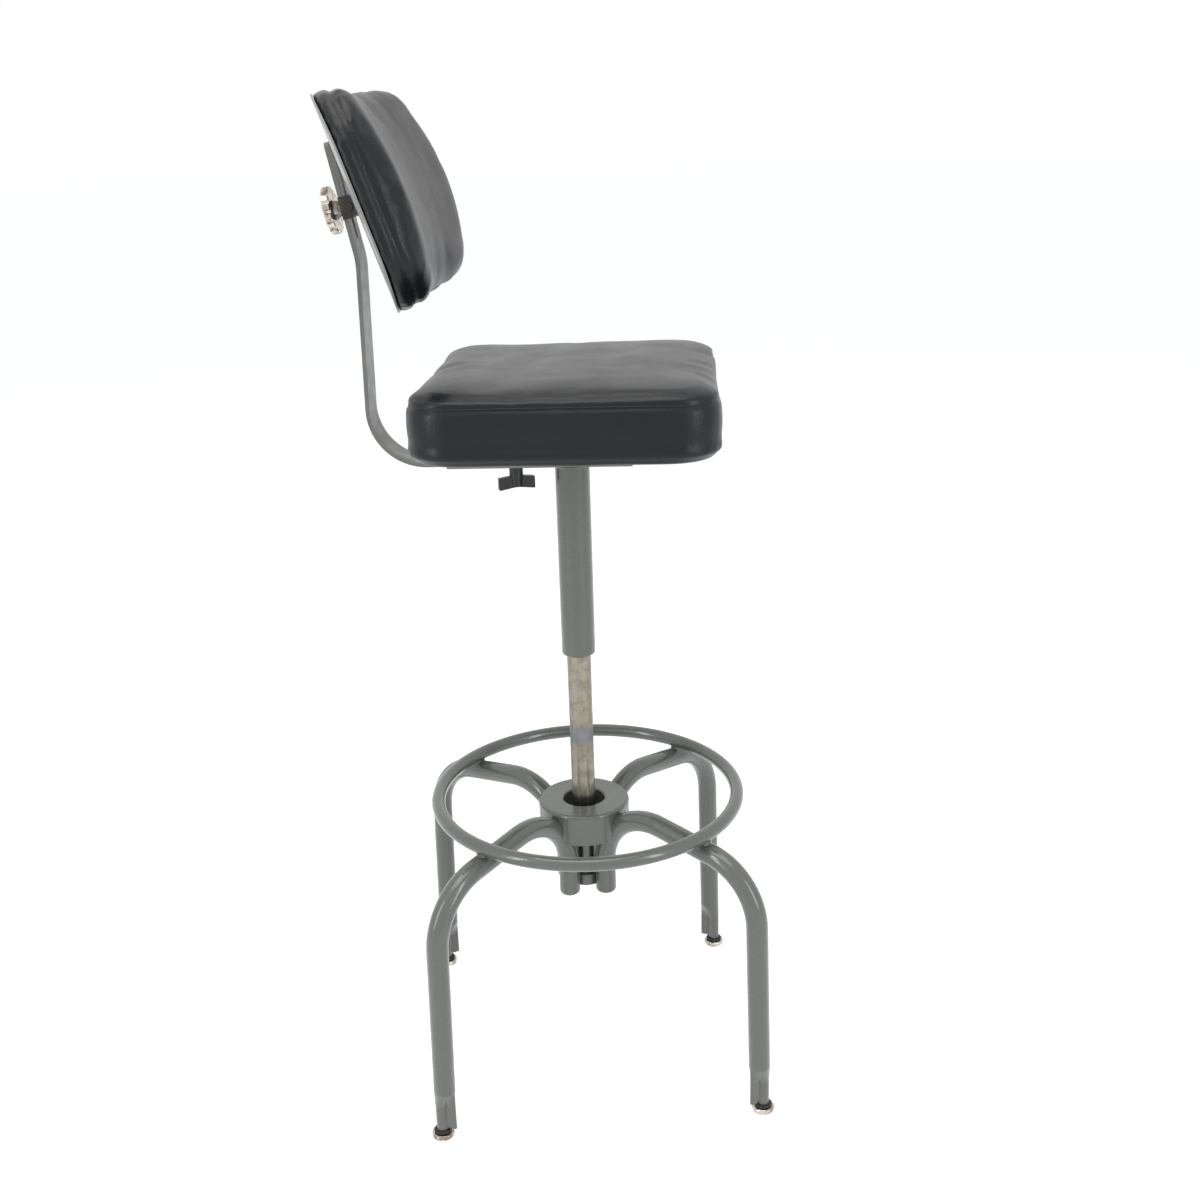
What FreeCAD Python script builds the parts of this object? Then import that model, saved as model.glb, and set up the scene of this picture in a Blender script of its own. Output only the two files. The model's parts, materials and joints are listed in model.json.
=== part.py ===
import FreeCAD, Part
import math
import os

# Machinist stool with a telescoping spindle, four bent tube legs, a foot ring,
# an upholstered seat and an adjustable upholstered backrest. Millimetres and
# degrees. Origin on the floor on the spindle's axis, +Z up, +X to the sitter's
# left, the seat's front towards -Y.

V = FreeCAD.Vector
X_AXIS = V(1, 0, 0)
Y_AXIS = V(0, 1, 0)
Z_AXIS = V(0, 0, 1)

# Clearances
running_gap = 0.05
sliding_gap = 0.1
side_gap = 0.2
loose_gap = 0.4

# Legs: one inch tube, from a stub beside the spindle out and down to the floor
leg_turn = 7.9
leg_tube_r = 12.7
leg_wall = 1.6
leg_stub_radius = 32.0
leg_stub_bottom = 220.5
leg_stub_round = 5.0
leg_crown_z = 349.6
leg_slope = 9.0
leg_inner_bend = 75.7
leg_knee_radius = 258.0
leg_outer_bend = 76.0
leg_splay = 1.49
foot_turn = 68.0
crimp_top = 64.5
crimp_bottom = 42.5
socket_bottom = 11.0
socket_r = 7.0
socket_wall = 1.6
socket_offset = 5.8
fin_reach = 18.4
fin_thickness = 4.6
fin_bottom = 13.6

# Glides under the legs
glide_base_r = 13.3
glide_base_height = 7.0
glide_foot_r = 9.5
glide_rubber_r = 9.7
glide_rubber_seat = 4.0
glide_stem_r = 4.0
glide_stem_bottom = 2.0
glide_stem_top = 36.0
glide_grip_bottom = 13.0
glide_grip_top = 34.0

# Hub that joins the legs
hub_top = 340.5
hub_r = 56.0
hub_height = 40.0
hub_rim_round = 4.0
hub_edge_round = 1.5
hub_bore_r = 25.5
hub_collar_above = 3.0
hub_collar_height = 18.0
foot_collar_bottom = 226.5
foot_collar_height = 14.0

# Foot ring, round bar welded on top of the legs
ring_radius = 184.4
ring_bar_r = 8.2
ring_weld_gap = 1.2
ring_shift_y = -5.0
weld_r = 6.0

# Spindle: the fixed post and the tube that slides and turns on it
post_r = 14.3
post_wall = 3.2
post_bottom = 224.5
post_top = 598.5
head_top = 636.5
head_spigot = 20.0
tube_r = 20.0
tube_wall = 2.0
tube_bottom = 532.2
tube_top = 764.8
tube_lip = 2.6
bush_height = 29.0
sleeve_bottom = 569.5
sleeve_bore_r = 15.0
groove_pitch = 25.4
groove_height = 10.0
groove_depth = 1.9
groove_play = 1.3
steps_up = 1
steps_down = 5

# Height latch in the head of the post
pawl_thickness = 6.0
pawl_pin_r = 2.0
pawl_pin_below = 22.0
pawl_pin_y = -3.0
pawl_nose_below = 4.0
pawl_nose_height = 6.0
pawl_reach = 1.5
pawl_heel = 4.0
pawl_room = 5.0
slot_roof = 1.5

# Seat bracket, a shallow channel welded on the tube, open to the rear
bracket_front = -71.0
bracket_rear = 141.5
bracket_sheet = 2.5
bracket_round = 3.0

# Back arm, a flat bar in the channel, bent up behind the seat
arm_width = 40.5
arm_thickness = 4.8
arm_front = -10.0
arm_heel_y = 228.9
arm_heel_bend = 63.6
arm_lean_forward = 0.9
arm_elbow_z = 998.1
arm_elbow_bend = 90.0
arm_lean_back = 11.2
arm_tip_z = 1123.5
arm_tip_round = 6.0
arm_slot_width = 9.0
arm_in = 38.0
arm_out = 25.0

# Wing screw under the channel
wing_y = 65.0
bolt_r = 4.0
wing_span = 43.0
wing_height = 14.0
wing_thickness = 7.0
wing_drop = 3.0
wing_turn = 20.0
wing_boss_r = 8.0
wing_boss_height = 13.5
wing_bolt_top = 785.5
washer_thickness = 1.6
washer_r = 9.5
nut_across = 13.0
nut_height = 6.5

# Spider, the cranked plate that carries the seat
spider_sheet = 3.0
spider_front = -45.0
spider_rear = 92.0
spider_arm_width = 26.0
spider_crank_start = 36.0
spider_crank_end = 78.0
spider_edge_x = 56.0
spider_edge_y = 31.5
spider_hole_back = 16.0
seat_bottom = 801.2

# Seat
seat_width = 382.0
seat_depth = 339.0
seat_centre_y = -3.5
seat_corner_r = 50.0
seat_edge_height = 71.0
seat_crown = 8.5
board_inset = 26.0
board_thickness = 9.0
seat_screw_r = 2.5
seat_screw_head_r = 5.5
seat_screw_head = 3.5
seat_screw_length = 14.5
tee_barrel_r = 3.9
tee_flange_r = 9.0
tee_flange = 1.2

# Backrest clamp on the arm
stud_up = 58.2
upper_slot_below = 34.5
upper_slot_above = 50.0
block_depth = 10.0
block_half_height = 12.0
block_cheek = 3.0
block_round = 4.5
knob_washer_thickness = 2.0
knob_washer_r = 12.0
knob_r = 26.0
knob_thickness = 8.5
knob_boss_r = 8.5
knob_boss_height = 8.5
knob_flutes = 16
knob_flute_r = 2.4
knob_edge = 0.8
stud_reach = 9.0

# Backrest
back_width = 342.0
back_height = 236.5
back_corner_r = 75.0
back_dish_r = 520.0
back_lean = 18.6
back_drop = 3.0
pivot_to_pan = 14.0
pivot_depth = 5.0
pan_sheet = 2.0
pan_inset = 3.0
back_band = 16.0
back_pad = 37.0
back_board_thickness = 8.0
back_board_inset = 22.0
plate_sheet = 3.0
plate_half_height = 30.0
ear_sheet = 2.5
ear_r = 7.0
pin_r = 3.0
pin_depth = 9.0
pin_head_r = 4.5
pin_head = 2.0
back_screw_x = 20.0
back_screw_z = 22.0
back_screw_r = 2.5
back_screw_head_r = 4.5
back_screw_head = 2.6

# Worked out from the driving sizes
leg_angles = [leg_turn + 45 + 90 * i for i in range(4)]
leg_names = ["rear_left", "rear_right", "front_right", "front_left"]
leg_hands = [-1, 1, -1, 1]
leg_knee_z = leg_crown_z - (leg_knee_radius - leg_stub_radius) * math.tan(math.radians(leg_slope))
leg_end_radius = leg_knee_radius + (leg_knee_z - crimp_top) * math.tan(math.radians(leg_splay))
tube_bore_r = tube_r - tube_wall
post_bore_r = post_r - post_wall
bush_bottom = tube_bottom + tube_lip + sliding_gap
pawl_nose_top = head_top - pawl_nose_below
pawl_pin_z = pawl_nose_top - pawl_pin_below
groove_bottom = pawl_nose_top + groove_play - groove_height
floor_top = tube_top + bracket_sheet
arm_bottom = floor_top + sliding_gap
arm_mid_z = arm_bottom + arm_thickness / 2
channel_top = arm_bottom + arm_thickness + sliding_gap
bracket_half = arm_width / 2 + loose_gap + bracket_sheet
spider_end_x = seat_width / 2 - spider_edge_x
spider_end_y = seat_depth / 2 - spider_edge_y
elbow_y = arm_heel_y - (arm_elbow_z - arm_mid_z) * math.tan(math.radians(arm_lean_forward))
lean_sin = math.sin(math.radians(arm_lean_back))
lean_cos = math.cos(math.radians(arm_lean_back))
stud_point = V(0, elbow_y + stud_up * lean_sin, arm_elbow_z + stud_up * lean_cos)
arm_frame = FreeCAD.Placement(stud_point, FreeCAD.Rotation(X_AXIS, -arm_lean_back))
block_front = -arm_thickness / 2 - sliding_gap - block_depth
pivot_y = block_front + pivot_depth
pivot_point = arm_frame.multVec(V(0, pivot_y, 0))
back_frame = FreeCAD.Placement(pivot_point, FreeCAD.Rotation(X_AXIS, -back_lean))
block_half = arm_width / 2 + side_gap + block_cheek
ear_inside = block_half + side_gap
plate_half_width = ear_inside + ear_sheet


def cylinder(radius, height, base, direction=Z_AXIS):
    return Part.makeCylinder(radius, height, base, direction)


def box(low, high):
    size = high.sub(low)
    return Part.makeBox(size.x, size.y, size.z, low)


def ring(outer, inner, height, base, direction=Z_AXIS):
    return cylinder(outer, height, base, direction).cut(cylinder(inner, height, base, direction))


def turned(start, *steps):
    """Solid of revolution about Z. A step is (r, z), or (r, z, r, z) for an arc through a point."""
    edges = []
    here = V(start[0], 0, start[1])
    for step in list(steps) + [start]:
        there = V(step[-2], 0, step[-1])
        if len(step) == 4:
            edges.append(Part.Arc(here, V(step[0], 0, step[1]), there).toShape())
        elif there.distanceToPoint(here) > 1e-6:
            edges.append(Part.LineSegment(here, there).toShape())
        here = there
    return Part.Face(Part.Wire(edges)).revolve(V(0, 0, 0), Z_AXIS, 360)


def bent_path(points, radii):
    """Straight runs joined by tangent arcs of the given radii."""
    edges = []
    here = points[0]
    for corner, after, radius in zip(points[1:-1], points[2:], radii):
        back = points[points.index(corner) - 1].sub(corner).normalize()
        ahead = after.sub(corner).normalize()
        half = back.getAngle(ahead) / 2
        tangent = radius / math.tan(half)
        first = corner + back * tangent
        last = corner + ahead * tangent
        middle = corner + (back + ahead).normalize() * (radius / math.sin(half) - radius)
        edges.append(Part.LineSegment(here, first).toShape())
        edges.append(Part.Arc(first, middle, last).toShape())
        here = last
    edges.append(Part.LineSegment(here, points[-1]).toShape())
    return Part.Wire(edges)


def swept(path, profile):
    return path.makePipeShell([profile], True, False)


def circle_wire(radius, centre, normal):
    return Part.Wire(Part.Circle(centre, normal, radius).toShape())


def rounded_outline(half_x, half_y, corner, centre, z):
    """Rounded rectangle of lines and quarter arcs, level at z."""
    corners = [(1, 1), (-1, 1), (-1, -1), (1, -1)]
    arcs = []
    for i, (sx, sy) in enumerate(corners):
        hub_point = V(centre.x + sx * (half_x - corner), centre.y + sy * (half_y - corner), z)
        turn = [math.radians(90 * i + a) for a in (0, 45, 90)]
        spots = [hub_point + V(math.cos(t), math.sin(t), 0) * corner for t in turn]
        arcs.append((Part.Arc(*spots).toShape(), spots[0], spots[2]))
    edges = []
    for i, (arc, first, last) in enumerate(arcs):
        edges.append(arc)
        edges.append(Part.LineSegment(last, arcs[(i + 1) % 4][1]).toShape())
    return Part.Wire(edges)


def rounded_plate(half_x, half_y, corner, centre, bottom, height):
    wire = rounded_outline(half_x, half_y, corner, centre, bottom)
    return Part.Face(wire).extrude(V(0, 0, height))


def slot_cutter(width, low, high, depth):
    """Round-ended slot along Z from low to high, cut through along Y, centred on the origin."""
    radius = width / 2
    start = V(0, -depth / 2, 0)
    body = box(V(-radius, -depth / 2, low + radius), V(radius, depth / 2, high - radius))
    ends = [cylinder(radius, depth, start + V(0, 0, z), Y_AXIS) for z in (low + radius, high - radius)]
    return body.multiFuse(ends)


def round_edges_at(shape, radius, spots):
    picked = [e for e in shape.Edges if any(e.CenterOfMass.distanceToPoint(s) < 0.5 for s in spots)]
    return shape.makeFillet(radius, picked)


def around(shape, angle):
    copy = shape.copy()
    copy.rotate(V(0, 0, 0), Z_AXIS, angle)
    return copy


def moved(shape, offset):
    copy = shape.copy()
    copy.translate(offset)
    return copy


def placed(shape, frame):
    copy = shape.copy()
    copy.Placement = frame.multiply(copy.Placement)
    return copy


# Legs

def leg_path():
    end_z = crimp_top
    points = [V(leg_stub_radius, 0, leg_stub_bottom + leg_stub_round),
              V(leg_stub_radius, 0, leg_crown_z),
              V(leg_knee_radius, 0, leg_knee_z),
              V(leg_end_radius, 0, end_z)]
    return bent_path(points, [leg_inner_bend, leg_outer_bend])


def leg_tube(radius):
    start = V(leg_stub_radius, 0, leg_stub_bottom + leg_stub_round)
    return swept(leg_path(), circle_wire(radius, start, Z_AXIS))


def leg_stub_end():
    """Closed round end of the tube beside the spindle."""
    r, h = leg_tube_r, leg_stub_round
    corner = h * (1 - math.sqrt(0.5))
    cap = turned((0, 0), (r - h, 0), (r - corner, corner, r, h), (r - leg_wall, h),
                 (r - leg_wall, h - leg_wall), (0, h - leg_wall))
    return moved(cap, V(leg_stub_radius, 0, leg_stub_bottom))


def split_circle(radius, turns, frame):
    """Circle in the local XY plane cut at the given angles, from the outermost point round."""
    edges = []
    for first, last in zip(turns[:-1], turns[1:]):
        spots = [frame.multVec(V(radius * math.cos(math.radians(t)), radius * math.sin(math.radians(t)), 0))
                 for t in (first, (first + last) / 2, last)]
        edges.append(Part.Arc(*spots).toShape())
    return Part.Wire(edges)


def foot_frame(hand, z):
    """Frame at the socket's axis with its X axis pointing away from the fin."""
    place = FreeCAD.Placement(V(leg_end_radius, 0, z), FreeCAD.Rotation(Z_AXIS, -hand * foot_turn))
    place.Base = place.multVec(V(socket_offset, 0, 0))
    return place


def keyhole_outline(frame):
    """Round socket with the rest of the tube folded flat beside it."""
    half = fin_thickness / 2
    neck = -math.sqrt(socket_r ** 2 - half ** 2)
    turn = math.acos(neck / socket_r) / 2
    spots = {"outer": V(socket_r, 0, 0), "left": V(socket_r * math.cos(turn), socket_r * math.sin(turn), 0),
             "right": V(socket_r * math.cos(turn), -socket_r * math.sin(turn), 0),
             "neck_left": V(neck, half, 0), "neck_right": V(neck, -half, 0),
             "end_left": V(half - fin_reach, half, 0), "end_right": V(half - fin_reach, -half, 0),
             "end": V(-fin_reach, 0, 0)}
    at = {name: frame.multVec(spot) for name, spot in spots.items()}
    edges = [Part.Arc(at["outer"], at["left"], at["neck_left"]).toShape(),
             Part.LineSegment(at["neck_left"], at["end_left"]).toShape(),
             Part.Arc(at["end_left"], at["end"], at["end_right"]).toShape(),
             Part.LineSegment(at["end_right"], at["neck_right"]).toShape(),
             Part.Arc(at["neck_right"], at["right"], at["outer"]).toShape()]
    return Part.Wire(edges)


def crimped_end(hand):
    """Lower end of the leg, pressed to a socket and a fin, with the socket's bore."""
    low = foot_frame(hand, crimp_bottom)
    fin_low = foot_frame(hand, fin_bottom)
    splayed = FreeCAD.Placement(V(leg_end_radius, 0, crimp_top), FreeCAD.Rotation(Y_AXIS, -leg_splay))
    tilt = splayed.multiply(FreeCAD.Placement(V(0, 0, 0), low.Rotation))
    round_top = split_circle(leg_tube_r, [0, 115, 165, 195, 245, 360], tilt)
    taper = Part.makeLoft([round_top, keyhole_outline(low)], True, True)
    straight = Part.Face(keyhole_outline(fin_low)).extrude(V(0, 0, crimp_bottom - fin_bottom))
    bore_r = socket_r - socket_wall
    socket = cylinder(socket_r, crimp_bottom - socket_bottom, foot_frame(hand, socket_bottom).Base)
    bore = cylinder(bore_r, crimp_bottom - socket_bottom, foot_frame(hand, socket_bottom).Base)
    top_wire = split_circle(leg_tube_r - leg_wall, [0, 120, 240, 360], tilt)
    funnel = Part.makeLoft([top_wire, split_circle(bore_r, [0, 120, 240, 360], low)], True, True)
    return taper.multiFuse([straight, socket]).cut(bore.fuse(funnel))


def leg(hand):
    tube = leg_tube(leg_tube_r).cut(leg_tube(leg_tube_r - leg_wall))
    return tube.multiFuse([leg_stub_end(), crimped_end(hand)]).removeSplitter()


# Glides, drawn once about their own axis

def glide_base():
    r, h = glide_base_r, glide_base_height
    foot = glide_foot_r
    low = 3.2
    top_round = 2.0
    base = turned((0, 0), (foot, 0), (r - 0.9, 0.9, r, low), (r, h - top_round),
                  (r - 0.6, h - 0.6, r - top_round, h), (glide_rubber_r, h),
                  (glide_rubber_r, glide_rubber_seat), (glide_stem_r, glide_rubber_seat),
                  (glide_stem_r, glide_stem_bottom), (0, glide_stem_bottom))
    return base


def glide_rubber():
    r, low, high = glide_rubber_r, glide_rubber_seat, socket_bottom
    bulge = 0.7
    shoulder = 1.4
    rubber = turned((glide_stem_r, low), (r, low), (r, glide_base_height),
                    (r + bulge, (glide_base_height + high) / 2, r - shoulder, high), (glide_stem_r, high))
    return rubber


def glide_stem():
    grip_r = socket_r - socket_wall - running_gap
    stem = cylinder(glide_stem_r, glide_stem_top - glide_stem_bottom, V(0, 0, glide_stem_bottom))
    grip = cylinder(grip_r, glide_grip_top - glide_grip_bottom, V(0, 0, glide_grip_bottom))
    return stem.fuse(grip).removeSplitter()


def under_legs(shape):
    """One copy under the socket of each leg."""
    feet = [moved(shape, foot_frame(hand, 0).Base) for hand in leg_hands]
    return Part.makeCompound([around(foot, angle) for foot, angle in zip(feet, leg_angles)])


# Hub, collars and foot ring

def hub():
    low = hub_top - hub_height
    r, f, e = hub_r, hub_rim_round, hub_edge_round
    mid = f * (1 - math.sqrt(0.5))
    body = turned((hub_bore_r, low), (r - e, low), (r, low + e), (r, hub_top - f),
                  (r - mid, hub_top - mid, r - f, hub_top), (hub_bore_r + e, hub_top),
                  (hub_bore_r, hub_top - e))
    solid_leg = leg_tube(leg_tube_r)
    for angle in leg_angles:
        body = body.cut(around(solid_leg, angle))
    return max(body.Solids, key=lambda s: s.Volume)


def hub_collar():
    """Welded ring that centres the post in the hub."""
    low = hub_top - hub_height + hub_collar_above
    collar = ring(hub_bore_r, post_r, hub_collar_height, V(0, 0, low))
    solid_leg = leg_tube(leg_tube_r)
    for angle in leg_angles:
        collar = collar.cut(around(solid_leg, angle))
    return collar


def foot_collar():
    """Welded ring between the post and the four tube stubs."""
    outer = leg_stub_radius - leg_tube_r
    return ring(outer, post_r, foot_collar_height, V(0, 0, foot_collar_bottom))


def leg_top_at(radius):
    rise = leg_tube_r / math.cos(math.radians(leg_slope))
    return leg_crown_z - (radius - leg_stub_radius) * math.tan(math.radians(leg_slope)) + rise


def ring_reach(angle):
    """Distance from the spindle to the ring's centre line along a leg."""
    along = ring_shift_y * math.sin(math.radians(angle))
    across = ring_shift_y * math.cos(math.radians(angle))
    return along + math.sqrt(ring_radius ** 2 - across ** 2)


ring_z = max(leg_top_at(ring_reach(a)) for a in leg_angles) + ring_bar_r + ring_weld_gap


def foot_ring():
    return Part.makeTorus(ring_radius, ring_bar_r, V(0, ring_shift_y, ring_z))


def ring_welds():
    """Weld saddle between the ring and each leg."""
    solid_leg = leg_tube(leg_tube_r)
    bar = foot_ring()
    welds = []
    for angle in leg_angles:
        reach = ring_reach(angle)
        top = leg_top_at(reach)
        start = around(Part.Vertex(V(reach, 0, 0)), angle).Point
        low = top - 4.0
        bead = cylinder(weld_r, ring_z - ring_bar_r + 3.0 - low, start + V(0, 0, low))
        bead = bead.cut(around(solid_leg, angle)).cut(bar)
        welds.append(max(bead.Solids, key=lambda s: s.Volume))
    return Part.makeCompound(welds)


# Post, head and latch

def centre_post():
    return ring(post_r, post_bore_r, post_top - post_bottom, V(0, 0, post_bottom))


def latch_pawl():
    """Stands on its pin with its nose in a groove of the sleeve, as it is while the seat is in use."""
    nose = -sleeve_bore_r - pawl_reach
    back = pawl_pin_y + pawl_heel
    front = pawl_pin_y - pawl_heel
    foot = pawl_pin_z - pawl_heel
    under = pawl_nose_top - pawl_nose_height
    points = [V(0, back, foot), V(0, back, pawl_nose_top), V(0, nose, pawl_nose_top),
              V(0, nose, under), V(0, front, under - pawl_heel), V(0, front, foot)]
    body = Part.Face(Part.makePolygon(points + points[:1])).extrude(V(pawl_thickness, 0, 0))
    body.translate(V(-pawl_thickness / 2, 0, 0))
    hole = cylinder(pawl_pin_r + running_gap, pawl_thickness, V(-pawl_thickness / 2, pawl_pin_y, pawl_pin_z), X_AXIS)
    return body.cut(hole)


def post_head():
    """Turned plug in the top of the post, slotted for the pawl, guided in the sleeve."""
    guide_r = sleeve_bore_r - sliding_gap
    head = cylinder(guide_r, head_top - post_top, V(0, 0, post_top))
    spigot = cylinder(post_bore_r, head_spigot, V(0, 0, post_top - head_spigot))
    head = head.fuse(spigot)
    half = pawl_thickness / 2 + side_gap
    back = pawl_pin_y + pawl_heel + pawl_room
    slot = box(V(-half, -guide_r - 1, pawl_pin_z - 2 * pawl_heel), V(half, back, head_top - slot_roof))
    pin = cylinder(pawl_pin_r, 2 * guide_r, V(-guide_r, pawl_pin_y, pawl_pin_z), X_AXIS)
    return head.cut(slot).cut(pin).removeSplitter()


def latch_pin():
    length = 2 * math.sqrt((sleeve_bore_r - sliding_gap) ** 2 - (abs(pawl_pin_y) + pawl_pin_r) ** 2)
    return cylinder(pawl_pin_r, length, V(-length / 2, pawl_pin_y, pawl_pin_z), X_AXIS)


# Seat tube, bush and sleeve

def seat_tube():
    """Painted tube, its mouth rolled inward under the bush."""
    r, inner = tube_r, tube_bore_r
    low = tube_bottom
    lip = tube_lip
    return turned((inner - 1.0, low), (r - lip, low), (r - lip * 0.29, low + lip * 0.29, r, low + lip),
                  (r, tube_top), (inner, tube_top), (inner, low + lip), (inner - 1.0, low + lip * 0.6))


def lower_bush():
    return ring(tube_bore_r - running_gap, post_r + running_gap, bush_height, V(0, 0, bush_bottom))


def height_sleeve():
    """Rack sleeve fixed in the tube, with one groove for each height."""
    sleeve = ring(tube_bore_r, sleeve_bore_r, tube_top - 1.0 - sleeve_bottom, V(0, 0, sleeve_bottom))
    for i in range(-steps_up, steps_down + 1):
        z = groove_bottom + groove_pitch * i
        sleeve = sleeve.cut(cylinder(sleeve_bore_r + groove_depth, groove_height, V(0, 0, z)))
    return sleeve


# Seat bracket and spider

def bolt_hole(z_low, z_high, radius):
    return cylinder(radius, z_high - z_low, V(0, wing_y, z_low))


def seat_bracket():
    inside = bracket_half - bracket_sheet
    outer = box(V(-bracket_half, bracket_front, tube_top), V(bracket_half, bracket_rear, channel_top))
    spots = [V(s * bracket_half, (bracket_front + bracket_rear) / 2, tube_top) for s in (-1, 1)]
    spots.append(V(0, bracket_front, tube_top))
    outer = round_edges_at(outer, bracket_round, spots)
    trough = box(V(-inside, bracket_front + bracket_sheet, floor_top), V(inside, bracket_rear, channel_top))
    return outer.cut(trough).cut(bolt_hole(tube_top, floor_top, bolt_r + loose_gap))


def spider_arm(sx, sy):
    """Cranked arm from the centre plate to a pad under a corner of the seat board."""
    reach = math.hypot(spider_end_x, spider_end_y)
    low, high = channel_top, seat_bottom - spider_sheet
    t = spider_sheet
    rise = math.atan2(high - low, spider_crank_end - spider_crank_start)
    shift = t * math.tan(rise / 2)
    points = [V(8, 0, low), V(spider_crank_start, 0, low), V(spider_crank_end, 0, high), V(reach, 0, high),
              V(reach, 0, high + t), V(spider_crank_end - shift, 0, high + t),
              V(spider_crank_start - shift, 0, low + t), V(8, 0, low + t)]
    half = spider_arm_width / 2
    side = Part.Face(Part.makePolygon(points + points[:1])).extrude(V(0, spider_arm_width, 0))
    side.translate(V(0, -half, 0))
    plan = box(V(0, -half, low - 1), V(reach - half, half, high + 10))
    plan = plan.fuse(cylinder(half, high + 11 - low, V(reach - half, 0, low - 1)))
    arm = side.common(plan)
    arm = arm.cut(cylinder(seat_screw_r + side_gap, t + 2, V(reach - spider_hole_back, 0, high - 1)))
    return around(arm, math.degrees(math.atan2(sy * spider_end_y, sx * spider_end_x)))


def seat_spider():
    half = bracket_half
    middle_y = (spider_front + spider_rear) / 2
    plate = rounded_plate(half, (spider_rear - spider_front) / 2, 8.0, V(0, middle_y, 0), channel_top, spider_sheet)
    arms = [spider_arm(sx, sy) for sx in (-1, 1) for sy in (-1, 1)]
    plate = plate.multiFuse(arms).removeSplitter()
    return plate.cut(bolt_hole(channel_top - 1, channel_top + spider_sheet + 1, bolt_r + loose_gap))


def clamp_nut():
    """Square-cornered hexagon nut welded on the spider over the wing screw."""
    low = channel_top + spider_sheet
    corner_r = nut_across / math.sqrt(3)
    spots = [V(corner_r * math.cos(math.radians(60 * i)), wing_y + corner_r * math.sin(math.radians(60 * i)), low)
             for i in range(7)]
    nut = Part.Face(Part.makePolygon(spots)).extrude(V(0, 0, nut_height))
    return nut.cut(bolt_hole(low, low + nut_height, bolt_r + running_gap))


# Wing screw

def wing_washer():
    low = tube_top - sliding_gap - washer_thickness
    return ring(washer_r, bolt_r + side_gap, washer_thickness, V(0, wing_y, low))


def wing_knob():
    """Moulded boss with two drooping wings."""
    top = tube_top - sliding_gap - washer_thickness - sliding_gap
    low = top - wing_boss_height
    boss = cylinder(wing_boss_r, wing_boss_height, V(0, 0, low))
    half = wing_span / 2
    bottom = top - wing_boss_height - wing_height
    points = [V(0, -half, bottom), V(0, 0, bottom + wing_drop), V(0, half, bottom),
              V(0, half, bottom + wing_height), V(0, wing_boss_r, low + 1.5),
              V(0, -wing_boss_r, low + 1.5), V(0, -half, bottom + wing_height)]
    wings = Part.Face(Part.makePolygon(points + points[:1])).extrude(V(wing_thickness, 0, 0))
    wings.translate(V(-wing_thickness / 2, 0, 0))
    wings = wings.makeFillet(1.5, [e for e in wings.Edges if abs(abs(e.CenterOfMass.y) - half) < 0.1])
    bulge_height = wing_height - wing_drop + 1.0
    bulge = cylinder(wing_boss_r - 1.0, bulge_height, V(0, 0, bottom + wing_drop + 0.5))
    knob = boss.multiFuse([wings, bulge]).removeSplitter()
    knob = knob.cut(cylinder(bolt_r, wing_boss_height, V(0, 0, low)))
    return moved(around(knob, wing_turn), V(0, wing_y, 0))


def wing_bolt():
    top = tube_top - sliding_gap - washer_thickness - sliding_gap
    low = top - wing_boss_height
    return cylinder(bolt_r, wing_bolt_top - low, V(0, wing_y, low))


# Back arm

def back_arm():
    points = [V(0, arm_front, arm_mid_z), V(0, arm_heel_y, arm_mid_z), V(0, elbow_y, arm_elbow_z),
              V(0, elbow_y + (arm_tip_z - arm_elbow_z) * lean_sin / lean_cos, arm_tip_z)]
    path = bent_path(points, [arm_heel_bend, arm_elbow_bend])
    w, t = arm_width / 2, arm_thickness / 2
    corners = [V(-w, arm_front, arm_mid_z - t), V(w, arm_front, arm_mid_z - t),
               V(w, arm_front, arm_mid_z + t), V(-w, arm_front, arm_mid_z + t)]
    bar = swept(path, Part.makePolygon(corners + corners[:1]))
    tip = points[-1]
    bar = round_edges_at(bar, arm_tip_round, [tip + V(s * w, 0, 0) for s in (-1, 1)])
    bar = round_edges_at(bar, arm_tip_round, [V(s * w, arm_front, arm_mid_z) for s in (-1, 1)])
    upper = placed(slot_cutter(arm_slot_width, -upper_slot_below, upper_slot_above, 4 * t), arm_frame)
    play = arm_slot_width / 2
    lower = slot_cutter(arm_slot_width, -arm_out - play, arm_in + play, 4 * t)
    lie = FreeCAD.Placement(V(0, wing_y, arm_mid_z), FreeCAD.Rotation(X_AXIS, -90))
    return bar.cut(upper).cut(placed(lower, lie))


# Seat

def seat_screw_spots():
    reach = math.hypot(spider_end_x, spider_end_y)
    share = (reach - spider_hole_back) / reach
    return [V(sx * spider_end_x * share, sy * spider_end_y * share, 0) for sx in (-1, 1) for sy in (-1, 1)]


def seat_board():
    half_x = seat_width / 2 - board_inset
    half_y = seat_depth / 2 - board_inset
    centre = V(0, seat_centre_y, 0)
    board = rounded_plate(half_x, half_y, seat_corner_r - board_inset / 2, centre, seat_bottom, board_thickness)
    for spot in seat_screw_spots():
        board = board.cut(cylinder(tee_barrel_r, board_thickness, spot + V(0, 0, seat_bottom)))
    return board


def tee_nuts():
    """Barrels pressed into the board from above, flanges on its upper face."""
    nuts = []
    for spot in seat_screw_spots():
        barrel = cylinder(tee_barrel_r, board_thickness - 1.0, spot + V(0, 0, seat_bottom + 1.0))
        flange = cylinder(tee_flange_r, tee_flange, spot + V(0, 0, seat_bottom + board_thickness))
        bore = cylinder(seat_screw_r, board_thickness + tee_flange, spot + V(0, 0, seat_bottom + 1.0))
        nuts.append(barrel.fuse(flange).removeSplitter().cut(bore))
    return Part.makeCompound(nuts)


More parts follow.
